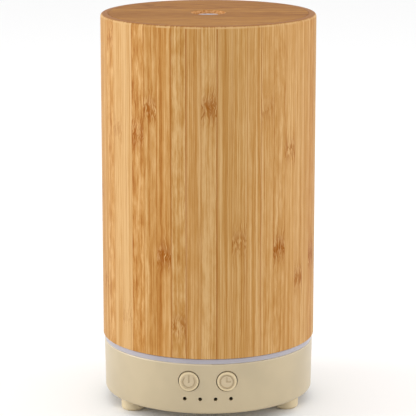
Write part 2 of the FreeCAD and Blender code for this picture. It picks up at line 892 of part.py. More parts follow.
def bottom_cover():
    body = new_body("bottom_cover")
    grow(
        body,
        "XY_Plane",
        plate_under,
        s.plate_thickness,
        lambda sketch: draw_flatted_circle(sketch, s.plate_radius, s.plate_flat),
    )

    def many(radius, circle, directions):
        def draw(sketch):
            for degrees in directions:
                draw_circle(sketch, radius, *around(circle, degrees))

        return draw

    def corners(radius):
        def draw(sketch):
            for x in SIDES:
                for y in SIDES:
                    draw_circle(sketch, radius, s.fan_hole_offset * x, s.fan_hole_offset * y)

        return draw

    level = s.main_board_level
    posts = many(s.main_post_radius, s.main_post_circle, MAIN_POSTS)
    pilots = many(s.pilot_radius, s.main_post_circle, MAIN_POSTS)
    grow(body, "XY_Plane", plate_top, level - plate_top, posts)
    cut_in(body, "XY_Plane", level, s.main_post_pilot, pilots)
    grow(body, "XY_Plane", plate_top, s.fan_lift, corners(s.fan_pad_radius))
    grow(body, "XY_Plane", fan_bottom, s.fan_depth - s.fan_post_drop, corners(s.fan_post_radius))
    cut_in(body, "XY_Plane", fan_top - s.fan_post_drop, s.fan_post_pilot, corners(s.pilot_radius))
    thickness = s.plate_thickness
    screw_holes = many(s.screw_hole_radius, s.base_boss_circle, BASE_SCREWS)
    sinks = many(s.screw_sink_radius, s.base_boss_circle, BASE_SCREWS)
    stems = many(s.foot_stem + s.close_fit, s.foot_circle, FEET.values())
    cut_in(body, "XY_Plane", plate_under, thickness, screw_holes, True)
    cut_in(body, "XY_Plane", plate_under, s.screw_sink, sinks, True)
    cut_in(body, "XY_Plane", plate_under, thickness, stems, True)
    half = s.vent_width * 0.5
    slot = [(s.vent_inner, -half), (s.vent_outer, -half), (s.vent_outer, half), (s.vent_inner, half)]
    vent = cut_in(body, "XY_Plane", plate_under, thickness, lambda sketch: draw_outline(sketch, slot), True)
    repeat(body, vent, s.vent_count.number)


def feet():
    for label, degrees in FEET.items():
        body = new_body(label)
        barb = plate_top + s.foot_barb_height
        turn(
            body,
            [
                (0, 0),
                (s.foot_radius, 0),
                (s.foot_radius + s.foot_flare, plate_under),
                (s.foot_stem, plate_under),
                (s.foot_stem, plate_top),
                (s.foot_barb, plate_top),
                (s.foot_stem * 0.8, barb),
                (0, barb),
            ],
        )
        soften(body, s.foot_round, [(s.foot_radius, 0)])
        place(body, *around(s.foot_circle, degrees), 0)


def base_fasteners():
    under = plate_under + s.screw_sink
    shank, length = s.case_screw_shank, s.case_screw_length
    head, head_height = s.case_screw_head, s.case_screw_head_height
    screws = [
        screw((*around(s.base_boss_circle, degrees), under), shank, length, head, head_height)
        for degrees in BASE_SCREWS
    ]
    keep("bottom_screws", group(*screws))
    screws = [
        small_screw((*around(s.tank_boss_circle, degrees), deck_under), s.tank_screw_length)
        for degrees in TANK_SCREWS
    ]
    keep("tank_screws", group(*screws))


# Buttons and what they press


def icon_ring(x, radius, face):
    """A thin ring-shaped cutter in the face of a button."""
    line, depth = s.icon_line, s.icon_depth
    back = -face + depth
    outer = rod_forward(radius + line * 0.5, depth * 2, (x, back, s.button_level))
    inner = rod_forward(radius - line * 0.5, depth * 2, (x, back, s.button_level))
    return carve(outer, inner)


def icon_bar(x, width, height, low, face):
    """An upright or level bar-shaped cutter in the face of a button."""
    depth = s.icon_depth * 2
    return block(width, depth, height, (x, -face, low))


def button(label, side, icon):
    x = s.button_offset * side
    at = lambda y: (x, -size(y), s.button_level)
    stem = s.button_face - s.button_flange_front
    cap = bind(doc.addObject("Part::Fillet", "Rounded"))
    raw = rod_forward(s.button_radius, stem, at(s.button_flange_front))
    doc.recompute()
    cap.Base = raw
    radius = s.button_round.number
    edges = circle_edges(raw.Shape, [(s.button_radius, -s.button_face)], along="y")
    cap.Edges = [(int(edges[0][4:]), radius, radius)]
    flange_length = s.button_flange_front - s.button_flange_back
    solid = join(cap, rod_forward(s.button_flange, flange_length, at(s.button_flange_back)))
    dish = rod_forward(s.button_dish_radius, s.button_dish * 2, at(s.button_face - s.button_dish))
    keep(label, carve(solid, dish, icon))


def buttons():
    floor = s.button_face - s.button_dish
    line, radius = s.icon_line, s.icon_radius
    left = s.button_offset * -1
    gap = icon_bar(left, radius * 1.4, radius * 1.5, s.button_level + radius * 0.3, floor)
    arc = carve(icon_ring(left, radius, floor), gap)
    stroke = icon_bar(left, line, radius * 1.3, s.button_level - radius * 0.18, floor)
    button("power_button", -1, join(arc, stroke))
    right = s.button_offset
    ring = icon_ring(right, radius * 1.1, floor)
    minute = icon_bar(right, line, radius * 0.9, s.button_level - line * 0.5, floor)
    hour = icon_bar(right + radius * 0.33, radius * 0.66, line, s.button_level - line * 0.5, floor)
    button("timer_button", 1, group(ring, join(minute, hour)))


def button_electronics():
    board_front = s.button_board_front
    level, low = s.button_level, s.button_board_low
    board_middle = -board_front + s.board_thickness * 0.5
    sheet_of_board = block(
        s.button_board_width,
        s.board_thickness,
        s.button_board_height,
        (0, board_middle, low),
    )
    holes, screws = [], []
    for side in SIDES:
        x, y, z = s.button_post_offset * side, -board_front, s.button_post_level
        holes.append(rod_back(s.board_hole_radius, s.board_thickness, (x, y, z)))
        length = s.board_thickness + s.button_screw_grip
        screws.append(small_screw((x, y + s.board_thickness, z), length, axis=(1, 0, 0), angle=90.0))
    keep("button_board", carve(sheet_of_board, *holes))
    keep("button_board_screws", group(*screws))
    for name, side in zip(("power", "timer"), SIDES):
        x = s.button_offset * side
        front = board_front + s.switch_depth
        half = s.switch_side * 0.5
        case = block(
            s.switch_side,
            s.switch_depth,
            s.switch_side,
            (x, -front + s.switch_depth * 0.5, level - half),
        )
        bore = rod_back(s.switch_bore, s.switch_bore_depth, (x, -front, level))
        keep(f"{name}_switch", carve(case, bore))
        length = s.button_flange_back - front + s.plunger_rest
        keep(f"{name}_plunger", rod_forward(s.plunger_radius, length, (x, -front + s.plunger_rest, level)))
    radius, length = s.indicator_led_radius, s.indicator_led_length
    for number, step in enumerate(INDICATORS, start=1):
        x, z = s.indicator_pitch * step, s.indicator_level
        stem = rod_forward(radius, length, (x, -board_front, z))
        dome = bind(doc.addObject("Part::Sphere", "Dome"), Radius=radius)
        place(dome, x, -board_front - length, z)
        keep(f"indicator_led_{number}", join(stem, dome))


# Main board and its components


def main_board():
    body = new_body("main_board")
    level = s.main_board_level
    outline = lambda sketch: draw_flatted_circle(sketch, s.main_board_radius, s.main_board_flat)
    grow(body, "XY_Plane", level, s.board_thickness, outline)
    bore = lambda sketch: draw_circle(sketch, s.main_board_bore)
    cut_in(body, "XY_Plane", level, s.board_thickness, bore, True)

    def holes(sketch):
        for degrees in MAIN_POSTS:
            draw_circle(sketch, s.board_hole_radius, *around(s.main_post_circle, degrees))

    cut_in(body, "XY_Plane", level, s.board_thickness, holes, True)
    screws = []
    for degrees in MAIN_POSTS:
        at = (*around(s.main_post_circle, degrees), board_top)
        screws.append(small_screw(at, s.board_thickness + s.main_screw_grip, axis=(1, 0, 0), angle=180.0))
    keep("board_screws", group(*screws))
    side, window_depth = s.mood_led_side, s.mood_led_window_depth
    window_floor = board_top + s.mood_led_height - window_depth
    for number, degrees in enumerate(MOOD_LEDS, start=1):
        x, y = around(s.mood_led_circle, degrees)
        package = block(side, side, s.mood_led_height, (x, y, board_top))
        window = rod(s.mood_led_window, window_depth, (x, y, window_floor))
        keep(f"mood_led_{number}", carve(package, window))


def capacitor(label, y, radius, height):
    """An upright can with the scored top of an electrolytic capacitor."""
    x, groove = s.capacitor_x, s.capacitor_groove
    score = block(radius * 1.2, groove, groove, (x, y, board_top + height - groove))
    keep(label, carve(rod(radius, height, (x, y, board_top)), score))


def driver_inductor():
    """A drum core: two flanges with the winding between them."""
    x, y, rim = s.inductor_x, s.inductor_y, s.inductor_rim
    low_flange = rod(s.inductor_radius, rim, (x, y, board_top))
    high_flange = rod(s.inductor_radius, rim, (x, y, board_top + s.inductor_height - rim))
    winding = rod(s.winding_radius, s.inductor_height, (x, y, board_top))
    keep("driver_inductor", join(low_flange, winding, high_flange))


def microcontroller():
    x, y, length, width = s.chip_x, s.chip_y, s.chip_length, s.chip_width
    depth = s.chip_mark_depth
    inset = s.chip_mark_radius * 2
    corner = (x - length * 0.5 + inset, y + width * 0.5 - inset, board_top + s.chip_height - depth)
    package = block(length, width, s.chip_height, (x, y, board_top))
    keep("microcontroller", carve(package, rod(s.chip_mark_radius, depth, corner)))


def driver_transistor():
    """The transistor that drives the transducer, with its finned heat sink on top."""
    x, y = s.transistor_x, s.transistor_y
    height = s.transistor_height
    keep("driver_transistor", block(s.transistor_length, s.transistor_width, height, (x, y, board_top)))
    low = board_top + height
    solid = block(s.sink_length, s.sink_width, s.sink_height, (x, y, low))
    gap_height = s.sink_height - s.sink_floor
    gaps = [
        block(s.sink_length, s.sink_gap, gap_height, (x, y + s.sink_pitch * step, low + s.sink_floor))
        for step in INDICATORS
    ]
    keep("heat_sink", carve(solid, *gaps))


def board_components():
    driver_inductor()
    capacitor("capacitor_large", s.large_capacitor_y, s.large_capacitor_radius, s.large_capacitor_height)
    capacitor("capacitor_small", s.small_capacitor_y, s.small_capacitor_radius, s.small_capacitor_height)
    microcontroller()
    driver_transistor()


def power_socket():
    back = s.jack_front + s.jack_length
    middle = s.jack_front + s.jack_length * 0.5
    height = s.main_board_level - s.jack_bottom
    case = block(s.jack_width, s.jack_length, height, (0, middle, s.jack_bottom))
    bore_end = back - s.jack_bore_depth
    bore = rod_back(s.jack_bore, s.jack_bore_depth, (0, bore_end, s.jack_level))
    keep("dc_jack", carve(case, bore))
    keep("dc_jack_pin", rod_back(s.jack_pin_radius, s.jack_pin_length, (0, bore_end, s.jack_level)))


# Fan


def fan_frame():
    side, depth = s.fan_side, s.fan_depth
    duct = carve(block(side, side, depth, (0, 0, fan_bottom)), rod(s.fan_bore, depth, (0, 0, fan_bottom)))
    hub = rod(s.fan_hub_radius - s.fan_blade_skin, s.fan_floor, (0, 0, fan_bottom))
    bearing = rod(s.fan_bearing_radius, s.fan_bearing_height, (0, 0, fan_bottom))
    reach = s.fan_bore * 2 + s.fan_blade_skin
    struts = [
        block(reach, s.fan_strut, s.fan_floor, (0, 0, fan_bottom)),
        block(s.fan_strut, reach, s.fan_floor, (0, 0, fan_bottom)),
    ]
    solid = join(duct, hub, bearing, *struts)
    holes = [
        rod(s.fan_hole_radius, depth, (s.fan_hole_offset * x, s.fan_hole_offset * y, fan_bottom))
        for x in SIDES
        for y in SIDES
    ]
    bore_height = s.fan_bearing_height - s.fan_bearing_floor
    bore = rod(s.fan_bearing_bore, bore_height, (0, 0, fan_bottom + s.fan_bearing_floor))
    keep("fan_frame", carve(solid, *holes, bore))
    shank, length = s.small_screw_shank, s.fan_screw_grip
    head, head_height = s.fan_screw_head, s.fan_screw_head_height
    screws = []
    for side in SIDES:
        at = (s.fan_hole_offset * side, s.fan_hole_offset * side, fan_top)
        screws.append(screw(at, shank, length, head, head_height, axis=(1, 0, 0), angle=180.0))
    keep("fan_screws", group(*screws))


def fan_rotor():
    """A cup-shaped hub with pitched blades and its shaft, made as one shape about the Z axis."""
    low = (fan_bottom + s.fan_rotor_rise).number
    high = (fan_top - s.fan_rotor_drop).number
    shaft_low = (fan_bottom + s.fan_shaft_rise).number
    hub_radius, tip = s.fan_hub_radius.number, s.fan_blade_tip.number
    cup_skin, skin, pitch = s.fan_cup_skin.number, s.fan_blade_skin.number, s.fan_blade_pitch.number
    origin, up = FreeCAD.Vector(0, 0, 0), FreeCAD.Vector(0, 0, 1)
    height = high - low
    foot = FreeCAD.Vector(0, 0, low)
    cup = Part.makeCylinder(hub_radius, height, foot, up)
    cup = cup.cut(Part.makeCylinder(hub_radius - cup_skin, height - cup_skin, foot, up))
    shaft_foot = FreeCAD.Vector(0, 0, shaft_low)
    shaft = Part.makeCylinder(s.fan_shaft_radius.number, high - shaft_low, shaft_foot, up)
    rotor = cup.fuse(shaft)
    chord = (height - cup_skin) / math.cos(math.radians(pitch))
    count = int(s.fan_blade_count.number)
    ring = Part.makeCylinder(tip, height, foot, up)
    ring = ring.cut(Part.makeCylinder(hub_radius - cup_skin / 3, height, foot, up))
    for n in range(count):
        blade = Part.makeBox(tip, skin, chord, FreeCAD.Vector(0, -skin / 2, -chord / 2))
        blade.rotate(origin, FreeCAD.Vector(1, 0, 0), pitch)
        blade.translate(FreeCAD.Vector(0, 0, (low + high) / 2))
        blade.rotate(origin, up, 360.0 * n / count)
        rotor = rotor.fuse(blade.common(ring))
    made = doc.addObject("Part::Feature", "fan_rotor_shape")
    made.Shape = rotor.removeSplitter()
    keep("fan_rotor", made)


def wiring():
    """The three plug-in leads: each runs from what it feeds to its connector on the main board."""
    length, depth, height = s.plug_length, s.plug_depth, s.plug_height
    under = s.main_board_level - height

    x, y = s.fan_plug_x, s.fan_plug_y
    level = fan_bottom + s.fan_lead_rise
    keep("fan_connector", block(length, depth, height, (x, y, under)))
    lead("fan_lead", [(s.fan_side * 0.5, y, level), (x, y, level), (x, y, under)], s.lead_radius)

    start, y = s.disc_lead_y, s.disc_plug_y
    level = board_top + height * 0.5
    keep("transducer_connector", block(length, depth, height, (0, y, board_top)))
    crystal = disc_bottom - s.crystal_thickness
    lead(
        "transducer_lead",
        [(0, start, crystal), (0, start, level), (0, y - depth * 0.5, level)],
        s.lead_radius,
    )

    x, y, level = s.button_plug_x, s.button_plug_y, s.button_lead_level
    keep("button_connector", block(s.button_plug_length, depth, height, (x, y, under)))
    back = s.board_thickness - s.button_board_front
    lead("button_lead", [(x, back, level), (x, y, level), (x, y, under)], s.lead_radius)


def build():
    bamboo_sleeve()
    bamboo_top()
    inner_cover()
    water_tank()
    air_pipe()
    transducer()
    base_housing()
    bottom_cover()
    feet()
    base_fasteners()
    buttons()
    button_electronics()
    main_board()
    board_components()
    power_socket()
    fan_frame()
    fan_rotor()
    wiring()
    doc.recompute()


def write():
    """Checks every object and every sub-part, and only then writes the files."""
    for thing in doc.Objects:
        if "Invalid" in thing.State or "Error" in thing.State:
            raise RuntimeError(f"{thing.Name} ({thing.Label}) failed: {thing.State}")
    for label, thing in parts.items():
        shape = thing.Shape
        if shape.isNull() or not shape.isValid() or not shape.Solids:
            raise RuntimeError(f"{label} has no valid solid")
    os.makedirs("parts", exist_ok=True)
    for label, thing in parts.items():
        thing.Shape.exportStep(f"parts/{label}.step")
        print(f"{label}: {len(thing.Shape.Solids)} solid(s), {thing.Shape.Volume:.1f} mm3")


build()
write()
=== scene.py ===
import json
import math
import random

import bmesh
import bpy
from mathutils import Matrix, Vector


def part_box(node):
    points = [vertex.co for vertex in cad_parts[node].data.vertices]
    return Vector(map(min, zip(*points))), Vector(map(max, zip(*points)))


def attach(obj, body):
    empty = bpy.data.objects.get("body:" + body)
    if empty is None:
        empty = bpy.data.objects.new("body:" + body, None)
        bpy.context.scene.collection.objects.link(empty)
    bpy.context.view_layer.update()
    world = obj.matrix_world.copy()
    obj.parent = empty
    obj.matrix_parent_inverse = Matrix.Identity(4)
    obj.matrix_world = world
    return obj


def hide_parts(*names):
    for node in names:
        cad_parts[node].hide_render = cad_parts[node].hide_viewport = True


# The bamboo wall and lid are built here strip by strip. Every other piece is a CAD node with a new material.
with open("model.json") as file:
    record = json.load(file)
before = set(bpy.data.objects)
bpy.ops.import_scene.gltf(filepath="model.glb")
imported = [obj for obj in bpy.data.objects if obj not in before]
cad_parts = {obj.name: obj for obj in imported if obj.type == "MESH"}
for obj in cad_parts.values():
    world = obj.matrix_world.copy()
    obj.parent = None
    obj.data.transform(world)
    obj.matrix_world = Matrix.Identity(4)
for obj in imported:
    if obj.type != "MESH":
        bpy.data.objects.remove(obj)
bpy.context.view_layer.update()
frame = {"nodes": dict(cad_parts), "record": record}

MM = 0.001

# How the bamboo cover is glued up: upright strips of one width, numbered from the middle of the front.
STRIP_COUNT = 45
STRIP_START = -0.45  # the left edge of strip 0, in strip widths from the front's middle line
GLUE_GROOVE = 0.025 * MM
COVER_WALL = 4.5 * MM
EDGE_ROUND = 1.2 * MM
FOOT_ROUND = 0.3 * MM
SHARP_ANGLE = math.radians(40)  # edges of the bamboo that fold more than this stay sharp

# Strips of the front, by number: tone (-1 dark to 1 light), warmth (-1 greenish to 1 orange), mottling,
# height of the node above the ground in mm, strength of the node, and darkness of the glue line on the left.
NO_NODE = -200  # so far away that it doesn't show
FRONT_STRIPS = {
    -9: (-0.05, 0.10, 0.3, 53, 0.5, 0.3),
    -8: (0.10, 0.60, 0.9, 151, 0.5, 0.3),
    -7: (0.65, 0.10, 0.2, 115, 0.4, 0.1),
    -6: (1.25, 0.00, 0.1, 42, 0.3, 0.1),
    -5: (-0.45, 0.80, 1.0, 115, 1.0, 0.2),
    -4: (-0.55, 0.30, 0.5, 125, 0.9, 0.3),
    -3: (-0.55, 0.70, 0.3, 68, 1.0, 0.7),
    -2: (0.20, -0.20, 0.7, 41, 0.7, 0.9),
    -1: (-0.05, 0.10, 0.2, NO_NODE, 0.0, 1.0),
    0: (0.70, -0.20, 0.4, 126, 0.9, 0.6),
    1: (0.25, -0.30, 0.1, NO_NODE, 0.0, 1.0),
    2: (0.15, -0.30, 0.2, 74, 0.6, 0.3),
    3: (0.00, -0.10, 0.2, NO_NODE, 0.0, 0.5),
    4: (0.35, 0.00, 0.3, 125, 0.4, 0.8),
    5: (0.00, 0.00, 0.5, 70, 1.0, 0.3),
    6: (0.10, 0.10, 0.2, 108, 0.7, 0.5),
    7: (0.30, 0.00, 0.2, 56, 0.8, 0.4),
    8: (0.10, 0.00, 0.2, NO_NODE, 0.0, 0.1),
    9: (-0.70, 0.50, 0.4, 63, 1.0, 0.3),
}

# Strips of the lid, from front to back: width in mm, tone, warmth, mottling, place of the node along X in
# mm, and strength of the node.
LID_STRIPS = (
    (17, 0.50, 0.1, 0.4, NO_NODE, 0.0),
    (11, 0.05, 0.2, 0.5, NO_NODE, 0.0),
    (15, -0.95, 0.4, 0.5, NO_NODE, 0.0),
    (10, 0.10, 0.2, 0.6, NO_NODE, 0.0),
    (14, -0.60, 0.5, 1.0, -22, 0.5),
    (20, -0.30, 0.3, 0.5, NO_NODE, 0.0),
)
LID_GLUE = 0.25  # how dark the lid's glue lines are

random.seed(7)

COVER_LOW, COVER_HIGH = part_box("bamboo_sleeve")
COVER_RADIUS = (COVER_HIGH.x - COVER_LOW.x) / 2
LID_LOW, LID_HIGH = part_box("bamboo_top")
LID_RADIUS = (LID_HIGH.x - LID_LOW.x) / 2
LID_FRONT = -LID_RADIUS - 2 * MM  # the front strip of the lid was cut from a strip that began here
MIST_HOLE = 6.6 * MM  # radius


# ---------------------------------------------------------------- shader helpers


class Shader:
    """Builds one node material. Its methods take sockets or plain numbers and give sockets."""

    def __init__(self, name):
        self.material = bpy.data.materials.new(name)
        self.material.use_nodes = True
        self.tree = self.material.node_tree
        self.bsdf = self.tree.nodes["Principled BSDF"]

    def node(self, kind, **settings):
        made = self.tree.nodes.new(kind)
        for key, value in settings.items():
            setattr(made, key, value)
        return made

    def put(self, socket, value):
        if isinstance(value, bpy.types.NodeSocket):
            self.tree.links.new(value, socket)
        else:
            socket.default_value = value

    def math(self, operation, *values):
        made = self.node("ShaderNodeMath", operation=operation)
        for socket, value in zip(made.inputs, values):
            self.put(socket, value)
        return made.outputs[0]

    def add(self, *values):
        total = values[0]
        for value in values[1:]:
            total = self.math("ADD", total, value)
        return total

    def times(self, *values):
        total = values[0]
        for value in values[1:]:
            total = self.math("MULTIPLY", total, value)
        return total

    def minus(self, a, b):
        return self.math("SUBTRACT", a, b)

    def larger(self, a, b):
        return self.math("MAXIMUM", a, b)

    def magnitude(self, value):
        """The value without its sign."""
        return self.math("ABSOLUTE", value)

    def reach(self, a, b):
        """How far the point (a, b) is from (0, 0)."""
        return self.math("SQRT", self.add(self.times(a, a), self.times(b, b)))

    def swing(self, noise, amount):
        """A noise from 0 to 1, turned into a change of up to half the amount to both sides."""
        return self.times(self.minus(noise, 0.5), amount)

    def bell(self, value, width):
        """1 where value is 0, falling off smoothly over width to both sides."""
        ratio = self.math("DIVIDE", value, width)
        return self.math("EXPONENT", self.times(ratio, ratio, -1.0))

    def ease(self, value, low, high):
        """0 at low, 1 at high, smooth between them."""
        made = self.node("ShaderNodeMapRange", interpolation_type="SMOOTHSTEP")
        self.put(made.inputs["Value"], value)
        self.put(made.inputs["From Min"], low)
        self.put(made.inputs["From Max"], high)
        return made.outputs["Result"]

    def vector(self, x, y, z):
        made = self.node("ShaderNodeCombineXYZ")
        for socket, value in zip(made.inputs, (x, y, z)):
            self.put(socket, value)
        return made.outputs[0]

    def place(self):
        """X, Y and Z of the surface in millimetres."""
        coordinates = self.node("ShaderNodeTexCoord").outputs["Object"]
        scaled = self.node("ShaderNodeVectorMath", operation="SCALE")
        self.put(scaled.inputs[0], coordinates)
        self.put(scaled.inputs["Scale"], 1 / MM)
        split = self.node("ShaderNodeSeparateXYZ")
        self.put(split.inputs[0], scaled.outputs[0])
        return split.outputs[0], split.outputs[1], split.outputs[2]

    def attribute(self, name):
        """The three numbers that the mesh stores under this name."""
        made = self.node("ShaderNodeAttribute", attribute_name=name)
        split = self.node("ShaderNodeSeparateXYZ")
        self.put(split.inputs[0], made.outputs["Vector"])
        return split.outputs[0], split.outputs[1], split.outputs[2]

    def noise(self, vector, scale=1.0, detail=2.0, roughness=0.5, distortion=0.0):
        made = self.node("ShaderNodeTexNoise")
        self.put(made.inputs["Vector"], vector)
        for key, value in (
            ("Scale", scale),
            ("Detail", detail),
            ("Roughness", roughness),
            ("Distortion", distortion),
        ):
            self.put(made.inputs[key], value)
        return made.outputs[0]

    def mix(self, factor, a, b, blend="MIX"):
        """Mixes two colours."""
        made = self.node("ShaderNodeMix", data_type="RGBA", blend_type=blend)
        colours = [socket for socket in made.inputs if socket.type == "RGBA"]
        self.put(made.inputs[0], factor)
        self.put(colours[0], a)
        self.put(colours[1], b)
        return next(socket for socket in made.outputs if socket.type == "RGBA")

    def bump(self, height, distance, strength):
        made = self.node("ShaderNodeBump")
        made.inputs["Strength"].default_value = strength
        made.inputs["Distance"].default_value = distance
        self.put(made.inputs["Height"], height)
        self.put(self.bsdf.inputs["Normal"], made.outputs[0])

    def set(self, **values):
        """Sets sockets of the Principled shader by name, with _ for a space."""
        for key, value in values.items():
            self.put(self.bsdf.inputs[key.replace("_", " ")], value)


def rgb(red, green, blue):
    """A screen colour, 0 to 255 a channel, as the linear colour that shaders use."""
    channels = [c / 255 for c in (red, green, blue)]
    linear = [c / 12.92 if c <= 0.04045 else ((c + 0.055) / 1.055) ** 2.4 for c in channels]
    return (*linear, 1.0)


def shade(colour, factor):
    """A linear colour made darker or lighter, and no lighter than white."""
    return tuple(min(1.0, c * factor) for c in colour[:3]) + (1.0,)


# ---------------------------------------------------------------- bamboo


class Bamboo(Shader):
    """Strips of bamboo glued side by side.

    The mesh says where in its strip each point is, and what that strip is like. Lengths are in millimetres.
    streaks gives the first colour, and each later step takes the colour so far and gives the next.
    """

    LEAN_REACH = 8.0  # how far from a node its fibres lean
    CURL_REACH = 4.0  # how far from a node its curls lie

    def __init__(self, name, colours, along):
        super().__init__(name)
        self.light, self.middle, self.dark = colours
        self.x, self.y, self.z = self.place()
        self.across, self.seed, self.glue = self.attribute("strip_place")  # across is -1 to 1 over a strip
        self.tone, self.warmth, self.mottling = self.attribute("strip_look")
        node_place, self.node_strength, self.width = self.attribute("strip_node")
        self.length = {"x": self.x, "z": self.z}[along]
        self.from_node = self.minus(self.length, node_place)
        self.lay_fibres()

    def bowed(self, curve):
        """How far a point is past the node, which bends back by this much at the strip's edges."""
        return self.add(self.from_node, self.times(self.across, self.across, curve))

    def along_strip(self, scale, number, detail=1.0):
        """Noise that changes only along the strip."""
        return self.noise(self.vector(self.seed, self.times(self.length, scale), number), detail=detail)

    def lay_fibres(self):
        """Fibres run along the strip, wander a little, and lean and bulge beside a node."""
        side = self.times(self.across, self.width, 0.5)
        self.wide_mask = self.times(self.bell(self.from_node, self.LEAN_REACH), self.node_strength)
        self.near_mask = self.times(self.bell(self.bowed(1.5), self.CURL_REACH), self.node_strength)
        sway = self.noise(self.vector(self.times(side, 0.30), self.times(self.length, 0.17), self.seed))
        wildness = self.add(0.35, self.times(self.mottling, 0.8), self.times(self.wide_mask, 2.6))
        drift = self.along_strip(0.018, 3.0)
        self.fibre = self.add(side, self.swing(sway, wildness), self.swing(drift, 0.8))
        self.medium = self.grain(2.6, 0.014, 9.0, 3.0)
        self.fine = self.grain(9.0, 0.06, 21.0)
        self.broken = self.along_strip(0.06, 60.0, 3.0)  # where glue lines and the painted highlight on the cover's top edge come and go

    def grain(self, across_scale, along_scale, offset, detail=2.0, roughness=0.6):
        """Noise drawn out along the fibres. A different offset gives a different pattern."""
        here = self.vector(
            self.times(self.fibre, across_scale),
            self.times(self.length, along_scale),
            self.add(self.seed, offset),
        )
        return self.noise(here, 1.0, detail, roughness)

    def streaks(self):
        """Wood without nodes: bands, streaks and hairs along the fibres, and figure in mottled strips."""
        broad = self.grain(0.75, 0.006, 0.0)
        figure = self.grain(0.6, 0.13, 5.0, 3.0, 0.55)
        hair = self.times(self.ease(self.grain(3.4, 0.007, 70.0), 0.60, 0.70), 0.38)
        streak = self.add(
            self.swing(broad, 1.15),
            self.swing(self.medium, 1.5),
            self.swing(self.fine, 1.1),
            self.times(self.swing(figure, self.mottling), 2.0),
        )
        depth = self.add(
            0.42, self.times(self.tone, -0.20), self.times(streak, 0.95), self.times(self.wide_mask, 0.14)
        )
        colour = self.mix(self.ease(depth, -0.05, 0.6), self.light, self.middle)
        return self.mix(self.larger(self.ease(depth, 0.45, 1.2), hair), colour, self.dark)

    def node_marks(self, colour):
        """Curled dark flecks with a pale bow over them, and dark tips that run out along the fibres."""
        here = self.vector(
            self.times(self.fibre, 1.35), self.times(self.from_node, 0.26), self.add(self.seed, 40.0)
        )
        curls = self.noise(here, 1.0, 1.0, 0.5, 0.9)
        flecks = self.times(self.ease(curls, 0.50, 0.57), self.near_mask)
        pale = self.times(self.ease(curls, 0.46, 0.38), self.near_mask, 0.8)
        tips = self.ease(self.add(self.medium, self.times(self.wide_mask, 0.18)), 0.58, 0.72)
        bow = self.bell(self.add(self.bowed(2.4), -3.0), 1.1)
        colour = self.mix(self.larger(self.times(bow, self.node_strength, 0.45), pale), colour, self.light)
        return self.mix(self.larger(flecks, self.times(tips, self.wide_mask, 0.85)), colour, self.dark)

    def glue_lines(self, colour):
        """The line on each strip's left, darker in places. Beside the darkest lines the wood is stained."""
        line_width, stain_width = (0.12, 0.02), (0.40, 0.0)
        from_line = self.magnitude(self.add(self.across, 1.0))
        edge = self.ease(from_line, *line_width)
        stain = self.times(self.ease(from_line, *stain_width), self.ease(self.glue, 0.7, 1.0), 0.45)
        line = self.add(self.times(edge, self.glue, self.add(0.35, self.times(self.broken, 0.9))), stain)
        return self.mix(self.math("MINIMUM", line, 0.9), colour, self.dark)

    def tint(self, colour):
        """Warmer and greener strips."""
        white, warm, green = (1, 1, 1, 1), (1.04, 0.94, 0.78, 1), (0.93, 0.97, 0.84, 1)
        for sign, shift in ((1.0, warm), (-1.0, green)):
            amount = self.times(self.larger(self.times(self.warmth, sign), 0.0), 0.6)
            colour = self.mix(1.0, colour, self.mix(amount, white, shift), "MULTIPLY")
        return colour

    def finish(self, colour, gloss):
        rough = self.add(0.45, self.times(self.fine, 0.14))
        self.set(Base_Color=colour, Roughness=rough, Specular_IOR_Level=gloss)
        self.bump(self.add(self.times(self.medium, 0.4), self.times(self.fine, 0.6)), 0.03 * MM, 0.35)
        return self.material


def bamboo_material(name, colours, gloss, along, cut):
    """One bamboo finish. cut takes the shader and the colour so far, and adds the faces that were cut."""
    s = Bamboo(name, colours, along)
    colour = s.tint(s.glue_lines(s.node_marks(s.streaks())))
    return s.finish(cut(s, colour), gloss)


def cut_ends(s, colour):
    """The cut ends at the cover's top: pores in darker wood, partly painted shade, ragged at the rounded
    edge, which has a painted highlight.
    """
    # The end grain's brown is the wood's own, and also darker as painted shade, like the lid's upward face.
    end_grain_and_shade = rgb(152, 102, 50)
    top = COVER_HIGH.z / MM
    highlight_band, ends_start = (top - 1.1, top - 0.7), (top - 0.42, top - 0.12)
    pores = s.noise(s.vector(s.x, s.y, 0.0), 2.6, 2.0, 0.6)
    ends = s.mix(s.ease(pores, 0.45, 0.7), end_grain_and_shade, s.dark)
    ragged = s.add(s.z, s.swing(s.medium, 0.8), s.swing(s.fine, 0.5))
    # Painted highlight: a lighter band on the rounded edge, as if the top light caught it, coming and going
    # along it.
    painted_highlight = s.times(s.ease(s.z, *highlight_band), s.ease(s.broken, 0.35, 0.6))
    colour = s.mix(s.times(painted_highlight, 0.8), colour, s.light)
    return s.mix(s.ease(ragged, *ends_start), colour, ends)


def drilled_wall(s, colour):
    """The drilled wall of the mist hole: fresh wood, and partly painted light that lifts the shade inside
    the hole.
    """
    wall = MIST_HOLE / MM
    wall_edge = (wall + 0.25, wall + 0.10)
    pores = s.noise(s.vector(s.x, s.y, s.z), 1.8, 2.0, 0.6)
    fresh_and_lit = s.mix(s.ease(pores, 0.4, 0.65), rgb(222, 168, 112), rgb(174, 108, 48))
    # The wall's colour is cut wood, made lighter still as painted light on a wall that lies in the hole's
    # shade.
    return s.mix(s.ease(s.reach(s.x, s.y), *wall_edge), colour, fresh_and_lit)


# ---------------------------------------------------------------- plastic, metal and boards


